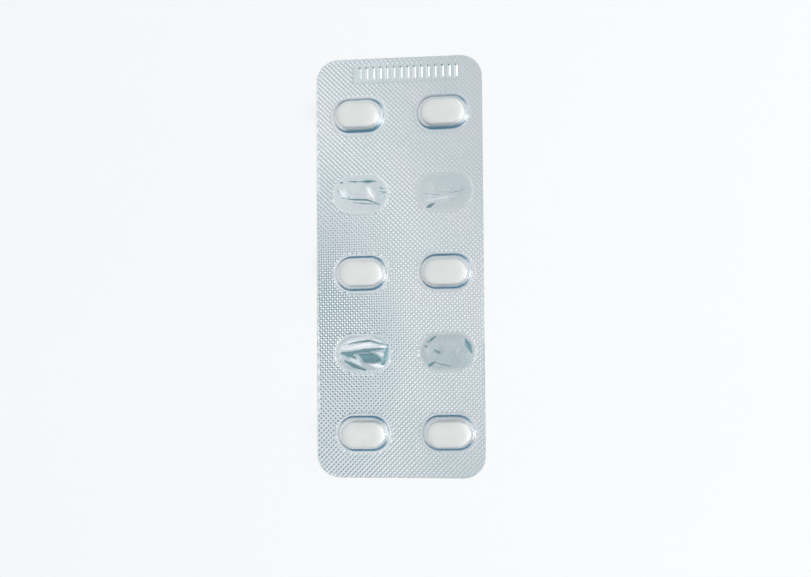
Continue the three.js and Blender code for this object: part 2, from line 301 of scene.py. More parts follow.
def sheet_plan(loops, in_hole, points):
    """Triangles between closed loops and over points, without those that lie in a hole.

    Returns the plan's points, its triangles, and each loop as numbers of points."""
    flat = [point for loop in loops for point in loop]
    edges = []
    start = 0
    for loop in loops:
        count = len(loop)
        edges += [(start + i, start + (i + 1) % count) for i in range(count)]
        start += count
    made = delaunay_2d_cdt(flat + points, edges, [], 0, MERGE_DISTANCE)
    places, triangles, sources = made[0], made[2], made[3]
    number = {old: new for new, olds in enumerate(sources) for old in olds}
    kept = []
    for triangle in triangles:
        middle = sum((places[i] for i in triangle), Vector((0, 0))) / 3
        if not in_hole(middle):
            kept.append(triangle)
    rings = []
    start = 0
    for loop in loops:
        rings.append([number[start + i] for i in range(len(loop))])
        start += len(loop)
    return places, kept, rings


class Shell:
    """A closed thin-walled body under construction. Its points can carry named marks, which
    a material reads as attributes, and which are 0 at the other points."""

    def __init__(self):
        self.points = []
        self.marks = {}
        self.faces = []
        self.smooth = []

    def add(self, plan, heights, **marks):
        numbers = list(range(len(self.points), len(self.points) + len(plan)))
        self.points += [(p.x, p.y, z) for p, z in zip(plan, heights)]
        for name, values in marks.items():
            self.marks.setdefault(name, {}).update(zip(numbers, values))
        return numbers

    def face(self, corners, faces_up, smooth):
        self.faces.append(tuple(corners) if faces_up else tuple(reversed(corners)))
        self.smooth.append(smooth)

    def sheet(self, plan, height_at, faces_up):
        """One side of the flat sheet. Returns its loops as numbers of points."""
        places, triangles, rings = plan
        numbers = self.add(places, [height_at(p) for p in places])
        for triangle in triangles:
            self.face([numbers[i] for i in triangle], faces_up, False)
        return [[numbers[i] for i in ring] for ring in rings]

    def bridge(self, outer, inner, faces_up, smooth=True):
        count = len(outer)
        for i in range(count):
            j = (i + 1) % count
            self.face([outer[i], outer[j], inner[j], inner[i]], faces_up, smooth)

    def cap(self, ring, hub, faces_up):
        count = len(ring)
        for i in range(count):
            self.face([ring[i], ring[(i + 1) % count], hub], faces_up, True)

    def piece(self, name, material):
        """The finished body as an object of the scene, in metres."""
        mesh = bpy.data.meshes.new(name)
        places = [tuple(c * MM for c in point) for point in self.points]
        mesh.from_pydata(places, [], self.faces)
        mesh.polygons.foreach_set("use_smooth", self.smooth)
        for mark, values in self.marks.items():
            attribute = mesh.attributes.new(mark, "FLOAT", "POINT")
            at_points = [values.get(i, 0.0) for i in range(len(self.points))]
            attribute.data.foreach_set("value", at_points)
        mesh.materials.append(material)
        mesh.update()
        made = bpy.data.objects.new(name, mesh)
        bpy.context.scene.collection.objects.link(made)
        return made


def petal_reach(petals, share):
    """How far in the torn foil reaches at one point of the tear's rim, as a share of the
    way to the pocket's middle line."""
    angle = share * 2 * math.pi
    long_wave = math.sin(petals["waves"] * angle + petals["phase"])
    short_wave = math.sin((2 * petals["waves"] + 3) * angle + 2 * petals["phase"])
    jag = math.sin(JAG_TEETH[0] * angle + petals["phase"]) * math.sin(JAG_TEETH[1] * angle)
    reach = petals["reach"] + LONG_WAVE_REACH * long_wave
    return reach + SHORT_WAVE_REACH * short_wave + JAG_REACH * jag


def petal_wrinkle(angle, share):
    """The wrinkles of the torn foil, from 0 to 1, in waves that wind as they run inward."""
    winding = math.sin(5 * angle + 3 * share)
    unwinding = math.sin(2 * angle - 4 * share)
    return (1 + winding * unwinding) / 2


def add_petals(shell, rim, pocket, height, faces_up):
    """One side of the petals round a tear, from its rim to the torn edge."""
    rim_plan = oblong(TEAR_RADIUS, TEAR_ARC_STEPS, TEAR_STRAIGHT_STEPS)
    count = len(rim_plan)
    reaches = [petal_reach(PETALS[pocket], i / count) for i in range(count)]
    ring = rim
    for i in range(1, PETAL_RINGS + 1):
        share = i / PETAL_RINGS
        plan = []
        for point, reach in zip(rim_plan, reaches):
            on_line = on_middle_line(point)
            radius = TEAR_RADIUS * (1 - share * reach)
            plan.append(on_line + (point - on_line).normalized() * radius)
        heights = []
        for j, reach in enumerate(reaches):
            angle = 2 * math.pi * j / count + PETALS[pocket]["phase"]
            lift = PETAL_LIFT * share**2 * reach
            heights.append(height + lift + PETAL_WRINKLE * share * petal_wrinkle(angle, share))
        inner = shell.add(placed(plan, *pocket), heights)
        shell.bridge(ring, inner, faces_up, smooth=False)
        ring = inner
    return ring


def in_tear(point):
    """True if a point of the strip lies in one of the torn holes' rims."""
    for pocket in PETALS:
        own = turned(point - pocket_centre(*pocket), -PATTERN_TURN)
        if from_middle_line(own) < TEAR_RADIUS - RIM_TOLERANCE:
            return True
    return False


# Speckle in the finish of rolled foil and of formed film: soft clouds of two tints and fine
# grain, used by every piece of the strip with its own sizes.
def clouds_and_grain_group():
    group = bpy.data.node_groups.new("Clouds and grain", "ShaderNodeTree")
    sides = [
        ("First tint", "INPUT", "NodeSocketColor"),
        ("Second tint", "INPUT", "NodeSocketColor"),
        ("Cloud scale", "INPUT", "NodeSocketFloat"),
        ("Grain scale", "INPUT", "NodeSocketFloat"),
        ("Roughness", "INPUT", "NodeSocketFloat"),
        ("Roughness spread", "INPUT", "NodeSocketFloat"),
        ("Color", "OUTPUT", "NodeSocketColor"),
        ("Roughness", "OUTPUT", "NodeSocketFloat"),
        ("Grain", "OUTPUT", "NodeSocketFloat"),
    ]
    for name, side, kind in sides:
        group.interface.new_socket(name=name, in_out=side, socket_type=kind)
    nodes, links = group.nodes, group.links
    given = nodes.new("NodeGroupInput")
    result = nodes.new("NodeGroupOutput")
    place = nodes.new("ShaderNodeTexCoord")
    clouds = nodes.new("ShaderNodeTexNoise")
    clouds.inputs["Detail"].default_value = 3
    grain = nodes.new("ShaderNodeTexNoise")
    grain.inputs["Detail"].default_value = 4
    for texture, scale in ((clouds, "Cloud scale"), (grain, "Grain scale")):
        links.new(place.outputs["Object"], texture.inputs["Vector"])
        links.new(given.outputs[scale], texture.inputs["Scale"])
    spread = nodes.new("ShaderNodeMapRange")
    spread.interpolation_type = "SMOOTHSTEP"
    spread.inputs["From Min"].default_value = 0.35
    spread.inputs["From Max"].default_value = 0.65
    links.new(clouds.outputs["Fac"], spread.inputs["Value"])
    tint = nodes.new("ShaderNodeMix")
    tint.data_type = "RGBA"
    links.new(spread.outputs["Result"], tint.inputs["Factor"])
    links.new(given.outputs["First tint"], tint.inputs["A"])
    links.new(given.outputs["Second tint"], tint.inputs["B"])
    links.new(tint.outputs["Result"], result.inputs["Color"])
    rough = nodes.new("ShaderNodeMath")
    rough.operation = "MULTIPLY_ADD"
    links.new(grain.outputs["Fac"], rough.inputs[0])
    links.new(given.outputs["Roughness spread"], rough.inputs[1])
    links.new(given.outputs["Roughness"], rough.inputs[2])
    links.new(rough.outputs["Value"], result.inputs["Roughness"])
    links.new(grain.outputs["Fac"], result.inputs["Grain"])
    return group


CLOUDS_AND_GRAIN = clouds_and_grain_group()


def finish_with_clouds(name, first, second, cloud, grain, rough, rough_spread):
    """A new material whose tint and roughness come from the clouds and grain group.

    Sizes of clouds and grain are in millimetres. Returns the material, its node tree, its
    Principled shader and the placed group."""
    material = bpy.data.materials.new(name)
    material.use_nodes = True
    tree = material.node_tree
    shader = tree.nodes["Principled BSDF"]
    group = tree.nodes.new("ShaderNodeGroup")
    group.node_tree = CLOUDS_AND_GRAIN
    group.inputs["First tint"].default_value = (*first, 1)
    group.inputs["Second tint"].default_value = (*second, 1)
    group.inputs["Cloud scale"].default_value = 1 / (cloud * MM)
    group.inputs["Grain scale"].default_value = 1 / (grain * MM)
    group.inputs["Roughness"].default_value = rough
    group.inputs["Roughness spread"].default_value = rough_spread
    tree.links.new(group.outputs["Color"], shader.inputs["Base Color"])
    tree.links.new(group.outputs["Roughness"], shader.inputs["Roughness"])
    return material, tree, shader, group


def with_grain_bump(tree, shader, group, strength, depth):
    """Gives the material a fine relief from the group's grain. Depth is in millimetres."""
    bump = tree.nodes.new("ShaderNodeBump")
    bump.inputs["Strength"].default_value = strength
    bump.inputs["Distance"].default_value = depth * MM
    tree.links.new(group.outputs["Grain"], bump.inputs["Height"])
    tree.links.new(bump.outputs["Normal"], shader.inputs["Normal"])


def foil_material():
    material, tree, shader, group = finish_with_clouds(
        "foil",
        first=(0.77, 0.83, 0.85),
        second=(0.83, 0.85, 0.88),
        cloud=14,
        grain=0.35,
        rough=0.18,
        rough_spread=0.11,
    )
    shader.inputs["Metallic"].default_value = 1
    with_grain_bump(tree, shader, group, strength=0.35, depth=0.02)
    return material


def lidding_foil():
    shell = Shell()
    loops = [strip_outline()]
    edge = oblong(POCKET_RADIUS, POCKET_ARC_STEPS, POCKET_STRAIGHT_STEPS)
    for pocket in POCKETS:
        loops.append(placed(edge, *pocket))
    tear = oblong(TEAR_RADIUS, TEAR_ARC_STEPS, TEAR_STRAIGHT_STEPS)
    for pocket in PETALS:
        loops.append(placed(tear, *pocket))
    plan = sheet_plan(loops, in_tear, relief_points())
    rims = []
    torn_edges = []
    for base, faces_up in ((FOIL_THICKNESS, True), (0, False)):
        rings = shell.sheet(plan, lambda p: base + relief(p), faces_up)
        rims.append(rings[0])
        tear_rims = rings[-len(PETALS) :]
        torn_edges.append(
            [
                add_petals(shell, rim, pocket, base, faces_up)
                for rim, pocket in zip(tear_rims, PETALS)
            ]
        )
    shell.bridge(rims[1], rims[0], True, smooth=False)
    for upper, lower in zip(*torn_edges):
        shell.bridge(upper, lower, True, smooth=False)
    return shell.piece("knurled_lidding_foil", foil_material())


foil = lidding_foil()
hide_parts("lidding_foil")
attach(foil, "root")


# Clear film
# Hard clear plastic film, drawn up hot into ten pockets, which leaves their walls thinner
# than the flat film. The strip is sealed, then punched out. Four pockets were pressed down
# to push their tablet out, and stay crumpled: their folds are sharp and lie where they fell.
FILM_THICKNESS = 0.25
FORMED_THICKNESS = 0.16
SEAL_GAP = 0.008
FILM_KNURL_SHARE = 0.6

TABLET_RADIUS = 2.9
TABLET_HEIGHT = 3.6
SEAT_CLEARANCE = 0.04
SIDE_CLEARANCE = 0.45
CROWN_CLEARANCE = 0.35
WALL_RADIUS = TABLET_RADIUS + SIDE_CLEARANCE + FORMED_THICKNESS
FOOT_WIDTH = 0.8
FOOT_HEIGHT = 0.85
SHOULDER_RADIUS = 0.7
CROWN_RISE = 0.08
POCKET_CEILING = FOIL_THICKNESS + SEAT_CLEARANCE + TABLET_HEIGHT + CROWN_CLEARANCE

FOOT_STEPS = 9
WALL_STEPS = 5
SHOULDER_STEPS = 7
CROWN_RINGS = 4

# Where a wall carries a painted dark-blue reflection, standing in for the dark surroundings
# that the steep walls reflect and refract: from part way up its foot to a height on the wall,
# in full along the long sides and a little at the round ends
PAINTED_REFLECTION_START = 0.03
PAINTED_REFLECTION_FULL = 0.18
PAINTED_REFLECTION_FADE = (1.0, 2.1)
PAINTED_REFLECTION_AT_ENDS = 0.3
PAINTED_REFLECTION_SIDES = (0.3, 0.95)

# How solid the film looks at most: where its walls carry the painted dark reflection, in
# valleys with their painted shade, along ridges with their whitening and painted highlight,
# and in the haze over each pressed pocket
WALL_REFLECTION_OPACITY = 0.88
VALLEY_SHADE_OPACITY = 0.62
RIDGE_WHITENING_AND_HIGHLIGHT_OPACITY = 0.5
HAZE_OPACITY = {(0, 1): 0.07, (1, 1): 0.07, (0, 3): 0.22, (1, 3): 0.18}

# The most that the film mirrors when it is seen edge on
MOST_GLOSS = 0.25

# How far a crease has to move the film to be tinted with painted shade or whitening, and to
# be tinted in full
CREASE_START = 0.01
CREASE_TINTED = 0.04
VALLEY_FULL = 0.16
RIDGE_FULL = 0.20
# Valleys get painted shade; ridges get the whitening of sharply bent plastic, which is also a
# painted highlight
VALLEY_PAINTED_SHADE = (0.08, 0.22, 0.25, 1)
RIDGE_WHITENING_AND_HIGHLIGHT = (0.90, 0.91, 0.93, 1)
HAZE_TINT = (0.22, 0.33, 0.34, 1)

# The pressed pockets: how high they stand, and how many rings in from the edge they take to
# lose their gloss and to reach their full haze
PRESSED_HEIGHT = 2.05
PRESSED_SLOPE_WIDTH = 1.9
PRESSED_LEAST_HEIGHT = 1.25
PRESSED_RINGS = 34
PRESSED_ARC_STEPS = 48
PRESSED_STRAIGHT_STEPS = 16
SCUFF_RINGS = 3
HAZE_RINGS = 7

# The broad folds, along points in the pocket's own plan
PRESSED_FOLDS = {
    (0, 1): [
        {"points": [(-5.1, -1.2), (0.2, -1.5), (5.1, -2.1)], "width": 0.8, "height": -0.85},
        {"points": [(-3.5, -2.8), (4.7, -3.3)], "width": 0.7, "height": 0.45},
        {"points": [(1.9, 1.4), (2.8, -1.2)], "width": 1.2, "height": 0.4},
        {"points": [(0.2, 3.0), (4.2, 2.9)], "width": 0.7, "height": -0.8},
        {"points": [(-5.9, 1.2), (-4.7, -1.2)], "width": 0.7, "height": -0.5},
    ],
    (1, 1): [
        {"points": [(-5.9, -0.5), (1.1, -0.8)], "width": 0.9, "height": -0.4},
        {"points": [(-6.2, -1.0), (-2.2, -2.2)], "width": 0.7, "height": -0.4},
        {"points": [(-4.0, -3.3), (-2.4, -2.9)], "width": 0.8, "height": -0.9},
        {"points": [(-2.2, -2.6), (4.8, -0.8)], "width": 1.1, "height": 0.45},
        {"points": [(1.1, -1.7), (5.8, 0.4)], "width": 0.8, "height": -0.4},
    ],
    (0, 3): [
        {"points": [(-4.5, 0.5), (2.7, 3.0), (5.0, 1.6)], "width": 0.8, "height": 0.5},
        {"points": [(-4.1, 0.0), (-0.1, 0.2), (5.0, 1.4)], "width": 0.7, "height": 0.55},
        {"points": [(-1.8, -1.2), (1.6, -0.9), (5.2, -0.7)], "width": 1.5, "height": -1.2},
        {"points": [(-2.9, -1.9), (0.8, -3.7)], "width": 0.8, "height": 0.5},
        {"points": [(-4.0, -2.2), (-0.2, -4.0)], "width": 0.6, "height": -0.5},
    ],
    (1, 3): [
        {"points": [(-3.7, 0.1), (-1.9, 0.3)], "width": 1.1, "height": -0.9},
        {"points": [(4.2, 2.4), (5.4, 0.1)], "width": 0.7, "height": -1.1},
        {"points": [(-6.0, -0.8), (-2.8, -2.5), (2.3, -2.5)], "width": 0.75, "height": -0.8},
        {"points": [(-5.6, 2.4), (-1.9, 3.1)], "width": 0.75, "height": -0.7},
        {"points": [(0.4, 2.2), (3.2, -1.2)], "width": 1.4, "height": 0.3},
    ],
}


def valley(*places, depth=0.3):
    """A crease that dips."""
    return {"places": places, "height": -depth}


def ridge(*places, rise=0.3):
    """A crease that stands up."""
    return {"places": places, "height": rise}


# The creases between the folds, along places in the pocket's plan: across, along and the
# half width of the crease there
CREASES = {
    (0, 1): [
        valley((0.1, 2.9, 0.1), (2.2, 2.8, 0.8), (4.2, 2.95, 0.1), depth=0.22),
        valley((-2.4, 2.9, 0.1), (-1.0, 2.8, 0.25), (0.3, 2.85, 0.1)),
        valley((-4.9, 2.9, 0.1), (-4.3, 2.8, 0.4), (-3.7, 2.6, 0.1)),
        valley((-5.7, 1.5, 0.1), (-5.0, 0.9, 0.35), (-4.1, -1.2, 0.1), depth=0.18),
        valley(
            (-4.1, -0.9, 0.15), (-1.5, -1.3, 0.3), (1.8, -1.5, 0.4), (4.9, -2.6, 0.15), depth=0.2
        ),
        valley((-1.4, -2.1, 0.1), (1.8, -2.5, 0.25), (4.9, -2.6, 0.1), depth=0.2),
        valley((4.8, 1.3, 0.1), (5.3, 1.1, 0.3), (5.9, 1.1, 0.1)),
        valley((5.0, 0.4, 0.1), (5.6, 0.2, 0.3), (6.3, 0.2, 0.1)),
        ridge((-4.6, 0.9, 0.3), (-3.8, 0.0, 1.2), (-3.0, -1.0, 0.3), rise=0.16),
        ridge((-6.0, 1.3, 0.2), (-5.6, 0.6, 0.8), (-5.3, 0.0, 0.2), rise=0.2),
        ridge((2.0, 1.4, 0.4), (2.8, -0.2, 1.4), (3.6, -1.7, 0.4), rise=0.15),
    ],
    (1, 1): [
        valley((-5.6, -0.35, 0.1), (-2.5, -0.8, 0.3), (0.2, -0.75, 0.1), depth=0.12),
        valley((0.2, -0.8, 0.1), (3.2, -0.3, 0.25), (5.9, 0.5, 0.1), depth=0.13),
        valley((-4.5, -3.7, 0.1), (-3.3, -3.3, 0.75), (-2.0, -2.8, 0.1), depth=0.2),
        ridge((-4.4, -2.3, 0.1), (-1.2, -1.9, 0.4), (2.2, -1.2, 0.1), rise=0.15),
    ],
    (0, 3): [
        ridge((-5.8, 0.9, 0.5), (-3.0, 2.6, 0.8), (1.6, 3.5, 0.7), (5.6, 1.9, 0.3), rise=0.2),
        valley((-4.4, 1.9, 0.1), (-1.0, 2.6, 0.4), (2.1, 2.9, 0.5), (6.3, 1.7, 0.3)),
        ridge((-4.3, 1.0, 0.3), (-1.0, 1.6, 0.8), (2.1, 1.9, 0.8), (5.6, 1.3, 0.3), rise=0.2),
        valley((-4.6, 0.1, 0.3), (-2.0, 0.1, 0.6), (0.5, 0.6, 0.5), (5.8, 1.0, 0.3)),
        valley((-0.6, -0.3, 0.4), (1.2, -0.9, 2.2), (3.0, -1.4, 1.6), (4.6, -1.7, 0.5)),
        valley((-4.2, -0.1, 0.3), (-2.8, -0.6, 0.9), (-1.4, -1.3, 0.3)),
        ridge((-2.8, -1.0, 0.2), (-1.5, -1.7, 0.9), (-0.2, -2.6, 0.2), rise=0.15),
        valley((-3.9, -1.8, 0.3), (-1.8, -2.9, 0.9), (0.6, -3.9, 0.4)),
        ridge((3.4, 0.0, 0.2), (4.6, -0.4, 0.6), (5.8, -0.9, 0.2), rise=0.15),
        ridge((2.1, -2.7, 0.2), (3.5, -3.0, 0.7), (4.9, -3.2, 0.2)),
        valley((5.8, 0.9, 0.4), (5.5, -1.0, 0.9), (4.8, -2.6, 0.5)),
        ridge((-6.2, 1.2, 0.4), (-5.4, 1.0, 1.0), (-4.8, 0.7, 0.3)),
        ridge((-6.2, -0.8, 0.3), (-5.5, -0.9, 0.8), (-4.9, -0.9, 0.3)),
    ],
    (1, 3): [
        valley((-4.4, 2.2, 0.1), (-3.5, 2.9, 0.5), (-2.6, 3.6, 0.2), depth=0.26),
        valley((-5.2, 1.4, 0.2), (-4.8, 1.3, 0.4), (-4.3, 1.2, 0.1), depth=0.22),
        valley((-2.9, 0.4, 0.3), (-2.2, 0.0, 0.9), (-1.4, -0.4, 0.3), depth=0.15),
        valley((-4.5, -3.4, 0.2), (-3.7, -2.8, 0.6), (-2.6, -2.2, 0.1), depth=0.26),
        valley((-2.7, -2.5, 0.1), (-0.8, -3.0, 0.3), (1.1, -3.4, 0.1), depth=0.18),
        valley((4.3, 2.8, 0.2), (4.9, 1.4, 1.1), (5.7, -0.4, 0.2)),
    ],
}


def pocket_plan(pocket, radius):
    """The plan of a pocket at one radius, finer where the pocket was pressed."""
    if pocket in PRESSED_FOLDS:
        return oblong(radius, PRESSED_ARC_STEPS, PRESSED_STRAIGHT_STEPS)
    return oblong(radius, POCKET_ARC_STEPS, POCKET_STRAIGHT_STEPS)


def pocket_section(is_inner, floor):
    """The section of a full pocket, from its edge to its crown, as radius and height."""
    wall = FORMED_THICKNESS if is_inner else 0
    top = POCKET_CEILING + FORMED_THICKNESS - wall
    shoulder = SHOULDER_RADIUS - wall
    section = []
    for i in range(1, FOOT_STEPS + 1):
        angle = i / FOOT_STEPS * math.pi / 2
        radius = POCKET_RADIUS - (FOOT_WIDTH + wall) * math.sin(angle)
        section.append((radius, floor + FOOT_HEIGHT * (1 - math.cos(angle))))
    foot = Vector(section[-1])
    for i in range(1, WALL_STEPS):
        section.append(foot.lerp(Vector((WALL_RADIUS - wall, top - shoulder)), i / WALL_STEPS))
    for i in range(SHOULDER_STEPS + 1):
        angle = i / SHOULDER_STEPS * math.pi / 2
        radius = WALL_RADIUS - wall - shoulder * (1 - math.cos(angle))
        section.append((radius, top - shoulder * (1 - math.sin(angle))))
    crown_edge = section[-1][0]
    for i in range(1, CROWN_RINGS + 1):
        share = 1 - i / (CROWN_RINGS + 1)
        section.append((crown_edge * share, top + CROWN_RISE * (1 - share**2)))
    return section, top + CROWN_RISE


def wall_depth(point, above):
    """The share of the wall's painted dark reflection at a point of a pocket's plan and a
    height.
    """
    sideways = abs((point - on_middle_line(point)).normalized().y)
    side = PAINTED_REFLECTION_AT_ENDS + (1 - PAINTED_REFLECTION_AT_ENDS) * smoothstep(sideways, *PAINTED_REFLECTION_SIDES)
    low = smoothstep(above, PAINTED_REFLECTION_START, PAINTED_REFLECTION_FULL) * (1 - smoothstep(above, *PAINTED_REFLECTION_FADE))
    return side * low


def add_pocket(shell, edge, pocket, is_inner, floor):
    """One face of a full pocket, from its edge in the sheet to the middle of its crown."""
    section, crown = pocket_section(is_inner, floor)
    ring = edge
    for radius, height in section:
        own = pocket_plan(pocket, radius)
        plan = placed(own, *pocket)
        # The wall's painted dark-blue reflection, ring by ring
        painted_reflection_shares = [wall_depth(point, height - floor) for point in own]
        inner = shell.add(plan, [height] * len(plan), wall_depth=painted_reflection_shares)
        shell.bridge(ring, inner, not is_inner)
        ring = inner
    hub = shell.add([pocket_centre(*pocket)], [crown])[0]
    shell.cap(ring, hub, not is_inner)


def nearness(point, start, end, start_width, end_width):
    """1 on the line from start to end, and falling to 0 at the half width beside it."""
    along = end - start
    share = min(max((point - start).dot(along) / along.length_squared, 0), 1)
    away = (point - start.lerp(end, share)).length
    return max(0, 1 - away / (start_width + share * (end_width - start_width)))


def fold_height(point, fold):
    """All of the fold's height on its line, and none past its width."""
    line = [Vector(place) for place in fold["points"]]
    width = fold["width"]
    nearest = max(nearness(point, a, b, width, width) for a, b in zip(line, line[1:]))
    return fold["height"] * nearest


def pressed_height(point, pocket):
    """The height of a pressed pocket's face above the sheet that it rises from."""
    inside = POCKET_RADIUS - from_middle_line(point)
    folds = PRESSED_FOLDS[pocket]
    folded = PRESSED_HEIGHT + sum(fold_height(point, fold) for fold in folds)
    slope = smoothstep(inside, 0, PRESSED_SLOPE_WIDTH)
    return slope * (max(folded, PRESSED_LEAST_HEIGHT) + crease_at(point, pocket))


def crease_at(point, pocket):
    """How far the fine creases move the film: down in valleys, and up on ridges."""
    height = 0
    for crease in CREASES[pocket]:
        places = crease["places"]
        nearest = max(
            nearness(point, Vector(a[:2]), Vector(b[:2]), a[2], b[2])
            for a, b in zip(places, places[1:])
        )
        height += crease["height"] * nearest
    return height


def add_pressed_pocket(shell, edge, pocket, is_inner, floor):
    """One face of a pressed pocket. Both faces have the same plan, so the wall stays whole."""
    ring = edge
    for i in range(1, PRESSED_RINGS):
        radius = POCKET_RADIUS * (1 - i / PRESSED_RINGS)
        plan = pocket_plan(pocket, radius)
        heights = [floor + pressed_height(point, pocket) for point in plan]
        creases = [crease_at(point, pocket) for point in plan]
        scuffs = [smoothstep(i, 0, SCUFF_RINGS)] * len(plan)
        hazes = [HAZE_OPACITY[pocket] * smoothstep(i, 0, HAZE_RINGS)] * len(plan)
        inner = shell.add(
            placed(plan, *pocket), heights, crease=creases, scuff=scuffs, haze=hazes
        )
        shell.bridge(ring, inner, not is_inner, smooth=False)
        ring = inner
    height = floor + pressed_height(Vector((0, 0)), pocket)
    haze = HAZE_OPACITY[pocket]
    hub = shell.add([pocket_centre(*pocket)], [height], scuff=[1.0], haze=[haze])[0]
    shell.cap(ring, hub, not is_inner)


def film_material():
    """Clear where the film is flat. Low on the formed walls it carries a painted dark-blue
    reflection of the dark surroundings, and in valleys painted shade. Along ridges it is
    whitened where the plastic was bent sharply, and this whitening is also a painted highlight."""
    material, tree, shader, group = finish_with_clouds(
        "clear_film",
        # The film's tints are the painted dark-blue reflection on its steep walls
        first=(0.03, 0.16, 0.26),
        second=(0.05, 0.20, 0.31),
        cloud=9,
        grain=0.5,
        rough=0.05,
        rough_spread=0.05,
    )

    def mapped(source, start, end, most):
        """0 up to the start, the most from the end on, and an even ease between them."""
        node = tree.nodes.new("ShaderNodeMapRange")
        node.interpolation_type = "SMOOTHSTEP"
        node.inputs["From Min"].default_value = start
        node.inputs["From Max"].default_value = end
        node.inputs["To Max"].default_value = most
        tree.links.new(source, node.inputs["Value"])
        return node.outputs["Result"]

    def mark(name):
        attribute = tree.nodes.new("ShaderNodeAttribute")
        attribute.attribute_name = name
        return attribute.outputs["Fac"]

    def combined(operation, first, second):
        node = tree.nodes.new("ShaderNodeMath")
        node.operation = operation
        for socket, given in zip(node.inputs, (first, second)):
            if isinstance(given, float):
                socket.default_value = given
            else:
                tree.links.new(given, socket)
        return node.outputs["Value"]

    # A wall shows its painted dark reflection where it is looked along, not where it is looked
    # through
    slant = tree.nodes.new("ShaderNodeLayerWeight")
    slant.inputs["Blend"].default_value = 0.5
    along_wall = mapped(slant.outputs["Facing"], 0.04, 0.28, 1.0)
    painted_wall_reflection = mapped(mark("wall_depth"), 0.0, 1.0, WALL_REFLECTION_OPACITY)
    seen = combined("MULTIPLY", painted_wall_reflection, along_wall)
    film_colour_and_painted_light = group.outputs["Color"]
    crease = mark("crease")
    haze = mark("haze")
    hazy = (mapped(haze, 0.0, 0.01, 1.0), haze, HAZE_TINT)
    # Painted shade in the valleys, and whitening with a painted highlight along the ridges
    painted_valley_shade = (
        mapped(crease, -CREASE_START, -CREASE_TINTED, 1.0),
        mapped(crease, -CREASE_TINTED, -VALLEY_FULL, VALLEY_SHADE_OPACITY),
        VALLEY_PAINTED_SHADE,
    )
    ridge_whitening_and_highlight = (
        mapped(crease, CREASE_START, CREASE_TINTED, 1.0),
        mapped(crease, CREASE_TINTED, RIDGE_FULL, RIDGE_WHITENING_AND_HIGHLIGHT_OPACITY),
        RIDGE_WHITENING_AND_HIGHLIGHT,
    )
    for share, opacity, colour in (hazy, painted_valley_shade, ridge_whitening_and_highlight):
        tint = tree.nodes.new("ShaderNodeMix")
        tint.data_type = "RGBA"
        tint.inputs["B"].default_value = colour
        tree.links.new(share, tint.inputs["Factor"])
        tree.links.new(film_colour_and_painted_light, tint.inputs["A"])
        film_colour_and_painted_light = tint.outputs["Result"]
        seen = combined("MAXIMUM", seen, opacity)
    tree.links.new(film_colour_and_painted_light, shader.inputs["Base Color"])
    with_grain_bump(tree, shader, group, strength=0.05, depth=0.02)

    clear = tree.nodes.new("ShaderNodeBsdfTransparent")
    body = tree.nodes.new("ShaderNodeMixShader")
    tree.links.new(seen, body.inputs["Fac"])
    tree.links.new(clear.outputs["BSDF"], body.inputs[1])
    tree.links.new(shader.outputs["BSDF"], body.inputs[2])
    gloss = tree.nodes.new("ShaderNodeBsdfGlossy")
    gloss.inputs["Roughness"].default_value = 0.08
    facing = tree.nodes.new("ShaderNodeFresnel")
    facing.inputs["IOR"].default_value = 1.53
    glossy = combined("MINIMUM", facing.outputs["Fac"], MOST_GLOSS)
    dulled = mapped(mark("scuff"), 1.0, 0.0, 1.0)
    coated = tree.nodes.new("ShaderNodeMixShader")
    tree.links.new(combined("MULTIPLY", glossy, dulled), coated.inputs["Fac"])
    tree.links.new(body.outputs["Shader"], coated.inputs[1])
    tree.links.new(gloss.outputs["BSDF"], coated.inputs[2])

    # Light passes through to the tablets and the foil, and comes back unstained
    path = tree.nodes.new("ShaderNodeLightPath")
    lit_through = tree.nodes.new("ShaderNodeMixShader")
    tree.links.new(path.outputs["Is Camera Ray"], lit_through.inputs["Fac"])
    tree.links.new(clear.outputs["BSDF"], lit_through.inputs[1])
    tree.links.new(coated.outputs["Shader"], lit_through.inputs[2])
    tree.links.new(
        lit_through.outputs["Shader"], tree.nodes["Material Output"].inputs["Surface"]
    )
    return material


def in_pocket(point):
    """True if a point of the strip lies inside a pocket's edge."""
    return beyond_pockets(point) < -RIM_TOLERANCE


def clear_film():
    shell = Shell()
    loops = [strip_outline()]
    for pocket in POCKETS:
        loops.append(placed(pocket_plan(pocket, POCKET_RADIUS), *pocket))
    plan = sheet_plan(loops, in_pocket, relief_points())
    bottom = FOIL_THICKNESS + SEAL_GAP
    rims = []
    for is_inner in (False, True):
        floor = bottom if is_inner else bottom + FILM_THICKNESS
        share = 1 if is_inner else FILM_KNURL_SHARE
        rings = shell.sheet(plan, lambda p: floor + share * relief(p), not is_inner)
        rims.append(rings[0])
        for edge, pocket in zip(rings[1:], POCKETS):
            if pocket in PRESSED_FOLDS:
                add_pressed_pocket(shell, edge, pocket, is_inner, floor)
            else:
                add_pocket(shell, edge, pocket, is_inner, floor)
    shell.bridge(rims[1], rims[0], True, smooth=False)
    return shell.piece("formed_clear_film", film_material())


film = clear_film()
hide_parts("clear_film")
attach(film, "root")


# Tablets
# Oblong tablets, pressed from white powder with a band round the side and two cushioned
# faces, then coated with a thin satin film. Each lies loose in its pocket on the foil.
TABLET_BAND_HEIGHT = 1.9
TABLET_CUP_DEPTH = (TABLET_HEIGHT - TABLET_BAND_HEIGHT) / 2
TABLET_CUP_RINGS = 14
TABLET_CUP_POWER = 2.6
TABLET_ARC_STEPS = 24
TABLET_STRAIGHT_STEPS = 8

# How far each tablet lies turned in its pocket, in degrees
TABLET_TURNS = {
    "tablet_top_left": -0.8,
    "tablet_top_right": 0.9,
    "tablet_middle_left": 0.3,
    "tablet_middle_right": 0.6,
    "tablet_bottom_left": -0.5,
    "tablet_bottom_right": 0.4,
}


